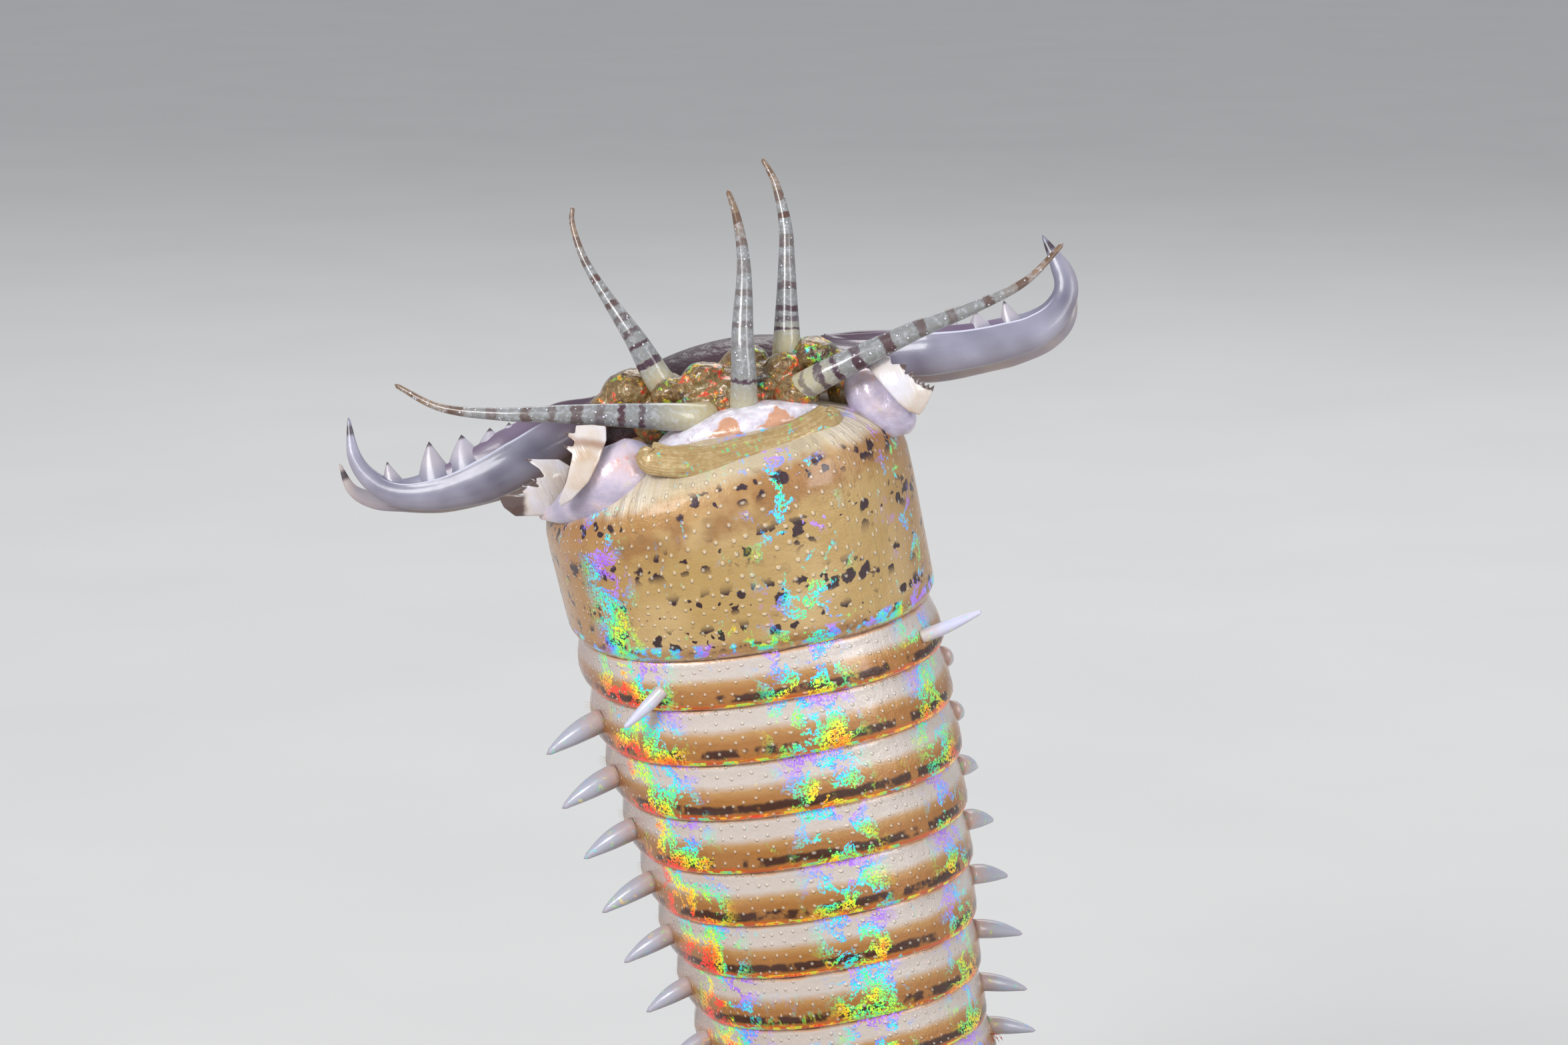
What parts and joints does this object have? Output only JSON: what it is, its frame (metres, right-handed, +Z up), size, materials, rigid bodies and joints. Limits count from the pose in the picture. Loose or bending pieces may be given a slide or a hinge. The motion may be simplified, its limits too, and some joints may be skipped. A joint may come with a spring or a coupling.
{
  "type": "bobbit worm model",
  "caption": "Life-size still model of a bobbit worm, front raised with jaws spread, body lying in a loose flat coil on the floor.",
  "frame": {"origin": "on the floor, under the middle of the model's box", "axes": "+Z up, +Y away from the viewer who faces the raised back, +X to that viewer's right"},
  "size_m": [0.1963, 0.1819, 0.1047],
  "materials": {
    "feeler_grey": "translucent grey with dark rings",
    "bronze_skin": "glossy iridescent cuticle",
    "golden_skin": "glossy golden cuticle",
    "jaw_mauve": "polished horn-like",
    "nuchal_white": "soft satin white",
    "pad_pearl": "pearly",
    "tan_skin": "satin iridescent cuticle",
    "throat_flesh": "moist flesh",
    "plate_ivory": "polished ivory"
  },
  "bodies": {
    "root": {"antenna_left": "feeler_grey", "antenna_median": "feeler_grey", "antenna_right": "feeler_grey", "body_01": "bronze_skin", "body_02": "bronze_skin", "body_03": "bronze_skin", "body_04": "bronze_skin", "body_05": "bronze_skin", "body_06": "bronze_skin", "body_07": "bronze_skin", "body_08": "bronze_skin", "body_09": "bronze_skin", "body_10": "bronze_skin", "body_11": "bronze_skin", "body_12": "bronze_skin", "body_13": "bronze_skin", "body_14": "bronze_skin", "body_15": "bronze_skin", "body_16": "bronze_skin", "body_17": "bronze_skin", "body_18": "bronze_skin", "body_19": "bronze_skin", "cirrus_left": "feeler_grey", "cirrus_right": "feeler_grey", "collar": "golden_skin", "fang_left": "jaw_mauve", "fang_right": "jaw_mauve", "jaw_left": "jaw_mauve", "jaw_right": "jaw_mauve", "nuchal_fold": "nuchal_white", "pad_left": "pad_pearl", "pad_right": "pad_pearl", "palp_left": "feeler_grey", "palp_right": "feeler_grey", "peristomium": "tan_skin", "pharynx": "throat_flesh", "plate_left_inner": "plate_ivory", "plate_left_outer": "plate_ivory", "plate_right": "plate_ivory", "prostomium": "golden_skin", "second_ring": "bronze_skin", "tail": "bronze_skin", "trunk_front": "bronze_skin", "trunk_middle": "bronze_skin"}
  },
  "joints": []
}
